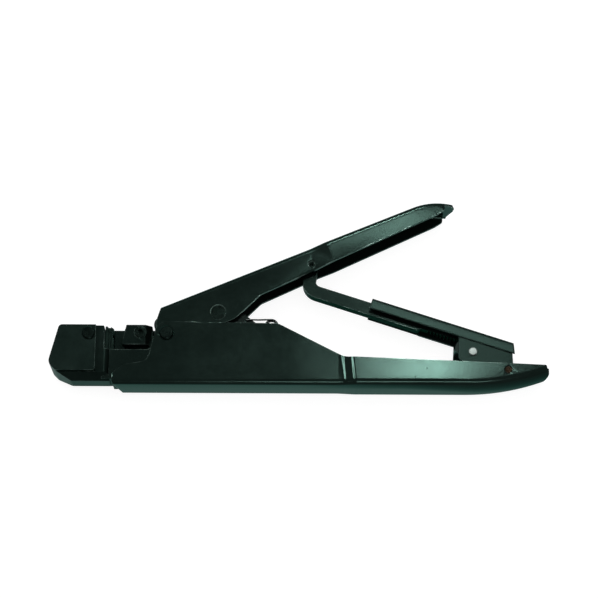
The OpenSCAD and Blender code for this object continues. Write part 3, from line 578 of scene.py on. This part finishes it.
class CRIMP_OT_handles(Operator):
    """Finish the two pressed handles"""
    bl_idname = "crimp.handles"
    bl_label = "Finish Handles"

    def execute(self, context):
        look, edges = context.scene.crimp_finish, context.scene.crimp_edges
        gloss = look.handle_gloss
        down = Vector((0.0, -1.0, 0.0))
        bend = (down, down.dot(at(0.0, LOWER_BEND)), look.bend)
        dress(["lower_handle"], blacked("lower_blacking", look, gloss, bend=bend, steps=STEPS, specks=SPECKS))
        up = square_to(OPEN_ANGLE)
        bend = (up, up.dot(PIVOT) + UPPER_BEND * MM, UPPER_TURN * look.bend, CREASES)
        # The upper handle's stronger edge wear is partly painted highlight along its edges
        dress(["upper_handle"], blacked("upper_blacking", look, gloss, bend=bend))
        soften(["lower_handle", "upper_handle"], edges.sheet, edges)
        return {"FINISHED"}


class CRIMP_OT_nose(Operator):
    """Finish the machined nose, its cover and the ram"""
    bl_idname = "crimp.nose"
    bl_label = "Finish Nose"

    def execute(self, context):
        look, edges = context.scene.crimp_finish, context.scene.crimp_edges
        block = ["die_frame", "crimper_holder", "ram"]
        dress(block, blacked("machined_blacking", look, look.block_gloss))
        dress(["nose_cover"], blacked("plate_blacking", look, look.block_gloss))
        soften([*block, "nose_cover"], edges.block, edges)
        return {"FINISHED"}


class CRIMP_OT_dies(Operator):
    """Finish the anvils and crimpers"""
    bl_idname = "crimp.dies"
    bl_label = "Finish Dies"

    def execute(self, context):
        look, edges = context.scene.crimp_finish, context.scene.crimp_edges
        names = ["insulation_anvil", "anvil_spacer", "wire_anvil", "wire_crimper", "insulation_crimper"]
        dress(names, ground("ground_die_steel", look, look.die_grey, gloss=0.34, lie=math.pi / 2, metallic=1.0))
        soften(names, edges.fine, edges)
        return {"FINISHED"}


class CRIMP_OT_linkage(Operator):
    """Finish the drive lever, the pins and the rings"""
    bl_idname = "crimp.linkage"
    bl_label = "Finish Linkage"

    def execute(self, context):
        look, edges = context.scene.crimp_finish, context.scene.crimp_edges
        hard, lie = ["drive_lever", "pawl"], math.radians(-20)
        dress(hard, ground("hardened_steel", look, look.hard_steel, gloss=0.36, lie=lie, metallic=0.9))
        pins = ["nose_pin", "anvil_dowel", "main_pivot_pin", "pivot_ring", "sleeve_pivot_pin",
                "sleeve_pin_spacers", "lever_rivet", "drive_pin", "rod_pivot_pin", "rod_spacers", "holder_screw"]
        for name in pins:
            low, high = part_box(name)
            tone = look.pin_brown if name == "sleeve_pivot_pin" else look.pin_dark
            dress([name], turned("turned_" + name, look, (low + high) / 2, tone, gloss=0.28))
        soften([*hard, *pins], edges.fine, edges)
        return {"FINISHED"}


class CRIMP_OT_strut(Operator):
    """Finish the ratchet strut: rod, sleeve, brackets and rivet"""
    bl_idname = "crimp.strut"
    bl_label = "Finish Ratchet Strut"

    def execute(self, context):
        look, edges = context.scene.crimp_finish, context.scene.crimp_edges
        dress(["ratchet_rod"], blacked("drawn_bar", look, gloss=0.28, grain_lie=STRUT_LIE))
        brackets = ["bracket_near", "bracket_far"]
        dress(brackets, blacked("bracket_blacking", look, gloss=0.34))
        up = square_to(STRUT_LIE)
        bend = (up, up.dot(at(*SLEEVE_PIN)) + SLEEVE_BEND * MM, SLEEVE_TURN)
        # The sleeve's lighter tone is partly painted sheen
        dress(["ratchet_sleeve"], blacked("sleeve_blacking", look, gloss=0.32, bend=bend))
        low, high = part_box("pawl_rivet")
        dress(["pawl_rivet"], turned("bright_rivet", look, (low + high) / 2, look.rivet_bright, gloss=0.5))
        soften(["ratchet_rod", "ratchet_sleeve", *brackets, "pawl_rivet"], edges.fine, edges)
        return {"FINISHED"}


class CRIMP_OT_springs(Operator):
    """Wind the return spring and the pawl's spring"""
    bl_idname = "crimp.springs"
    bl_label = "Wind Springs"

    def execute(self, context):
        look, spring = context.scene.crimp_finish, context.scene.crimp_springs
        finish = wire_finish("oiled_wire", look)
        mean, pitch = spring.return_coil / MM, spring.return_pitch / MM
        (x, y), low = COIL_MIDDLE, COIL_TOP - pitch * COIL_TURNS
        coil = []
        for i in range(round(COIL_TURNS * COIL_STEPS) + 1):
            a = 2 * math.pi * i / COIL_STEPS
            coil.append(at(x + mean * math.sin(a), y + mean * math.cos(a), COIL_TOP - pitch * i / COIL_STEPS))
        lead = smooth_path([at(*point, COIL_TOP) for point in SHORT_LEG], 8)
        tail = smooth_path([at(*point, low) for point in LONG_LEG], 10)
        piece = tube("return_spring_wire", lead + coil + tail, spring.return_wire, 12)
        piece.data.materials.append(finish)
        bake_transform(piece)
        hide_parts("return_spring")
        self.pawl_spring(spring, finish)
        return {"FINISHED"}

    def pawl_spring(self, spring, finish):
        """Small coil along the strut, from the pawl's tail to the sleeve's pin."""
        along = Vector((math.cos(STRUT_LIE), math.sin(STRUT_LIE), 0.0))
        up = square_to(STRUT_LIE)
        axis = at(*SLEEVE_PIN) + up * PAWL_RISE * MM
        near_tail, near_pin = PAWL_END * MM, PIN_END * MM
        count = spring.pawl_turns * PAWL_STEPS
        path = []
        for i in range(count + 1):
            a = 2 * math.pi * i / PAWL_STEPS
            reach = near_tail + (near_pin - near_tail) * i / count
            path.append(axis + along * reach + up * spring.pawl_coil * math.cos(a)
                        + Vector((0.0, 0.0, spring.pawl_coil * math.sin(a))))
        piece = tube("pawl_spring_wire", path, spring.pawl_wire, 10)
        piece.data.materials.append(finish)
        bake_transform(piece)
        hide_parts("pawl_spring")


class CRIMP_OT_stage(Operator):
    """Set the pale floor, the soft lamps and the camera"""
    bl_idname = "crimp.stage"
    bl_label = "Set Stage"

    def execute(self, context):
        scene, stage = context.scene, context.scene.crimp_stage
        scene.view_settings.view_transform = "Standard"
        self.floor(scene, stage)
        self.sky(scene, stage)
        self.lamp(scene, stage, "back_softbox", *SOFTBOX).visible_glossy = False
        for name, card in CARDS.items():
            self.lamp(scene, stage, name, *card).visible_diffuse = False
        self.camera(scene, stage)
        return {"FINISHED"}

    def floor(self, scene, stage):
        mesh = bpy.data.meshes.new("pale_floor")
        corners = ((-1, -1), (1, -1), (1, 1), (-1, 1))
        mesh.from_pydata([(FLOOR_HALF * x, FLOOR_HALF * y, FLOOR_DEPTH) for x, y in corners], [], [(0, 1, 2, 3)])
        floor = bpy.data.objects.new("pale_floor", mesh)
        scene.collection.objects.link(floor)
        material, t, shader = surface("pale_floor")
        feed(t, shader, Base_Color=stage.floor_tone, Roughness=0.9, Specular_IOR_Level=0.0,
             Emission_Color=(1.0, 1.0, 1.0), Emission_Strength=t.math("MULTIPLY", self.seen(t), stage.floor_lift))
        mesh.materials.append(material)

    def seen(self, t):
        """1 for what the camera sees, directly, in a reflection or through glass."""
        path = t.add("ShaderNodeLightPath").outputs
        both = t.math("MAXIMUM", path["Is Camera Ray"], path["Is Glossy Ray"])
        return t.math("MAXIMUM", both, path["Is Transmission Ray"])

    def sky(self, scene, stage):
        world = bpy.data.worlds.new("pale_room")
        world.use_nodes = True
        t = Tree(world.node_tree)
        feed(t, world.node_tree.nodes["Background"], Color=(1.0, 1.0, 1.0),
             Strength=t.span(self.seen(t), 0.0, 1.0, stage.sky, 1.0))
        scene.world = world

    def lamp(self, scene, stage, name, setting, sides, place, upward):
        """An area lamp that faces the tool, with its second side along the given way."""
        data = bpy.data.lights.new(name, "AREA")
        data.shape = "RECTANGLE"
        data.size, data.size_y = sides
        data.energy = getattr(stage, setting)
        lamp = bpy.data.objects.new(name, data)
        back = Vector(place).normalized()
        up = Vector(upward)
        up = (up - back * up.dot(back)).normalized()
        lamp.location = place
        lamp.rotation_mode = "QUATERNION"
        lamp.rotation_quaternion = Matrix((up.cross(back), up, back)).transposed().to_quaternion()
        scene.collection.objects.link(lamp)
        return lamp

    def camera(self, scene, stage):
        data = bpy.data.cameras.new("catalogue_camera")
        data.lens = stage.lens
        data.sensor_width = 36.0
        camera = bpy.data.objects.new("catalogue_camera", data)
        back = Euler((stage.lean, 0.0, stage.pan), "XYZ").to_matrix() @ Vector((0.0, 0.0, 1.0))
        camera.location = Vector(stage.aim) + back * stage.distance
        look = (-back).to_track_quat("-Z", "Y").to_matrix()
        roll = Euler((0.0, 0.0, stage.roll), "XYZ").to_matrix()
        camera.rotation_mode = "QUATERNION"
        camera.rotation_quaternion = (look @ roll).to_quaternion()
        data.clip_start, data.clip_end = 0.01, 20.0
        scene.collection.objects.link(camera)
        scene.camera = camera


OPERATORS = (CRIMP_OT_handles, CRIMP_OT_nose, CRIMP_OT_dies, CRIMP_OT_linkage, CRIMP_OT_strut, CRIMP_OT_springs,
             CRIMP_OT_stage)
GROUPS = {"crimp_finish": CrimpFinish, "crimp_edges": CrimpEdges, "crimp_springs": CrimpSprings,
          "crimp_stage": CrimpStage}


class CRIMP_PT_tool(Panel):
    """Sizes, colours and steps of the crimp tool"""
    bl_idname = "CRIMP_PT_tool"
    bl_label = "Hand Crimp Tool"
    bl_space_type = "VIEW_3D"
    bl_region_type = "UI"
    bl_category = "Crimp Tool"

    def draw(self, context):
        for group in GROUPS:
            box = self.layout.box()
            settings = getattr(context.scene, group)
            for key in settings.__annotations__:
                box.prop(settings, key)
        for operator in OPERATORS:
            self.layout.operator(operator.bl_idname)


CLASSES = (*GROUPS.values(), *OPERATORS, CRIMP_PT_tool)


def register():
    for cls in CLASSES:
        bpy.utils.register_class(cls)
    for name, group in GROUPS.items():
        setattr(bpy.types.Scene, name, PointerProperty(type=group))


def unregister():
    for name in GROUPS:
        delattr(bpy.types.Scene, name)
    for cls in reversed(CLASSES):
        bpy.utils.unregister_class(cls)


def main():
    register()
    bpy.ops.crimp.handles()
    bpy.ops.crimp.nose()
    bpy.ops.crimp.dies()
    bpy.ops.crimp.linkage()
    bpy.ops.crimp.strut()
    bpy.ops.crimp.springs()
    bpy.ops.crimp.stage()


if __name__ == "__main__":
    main()
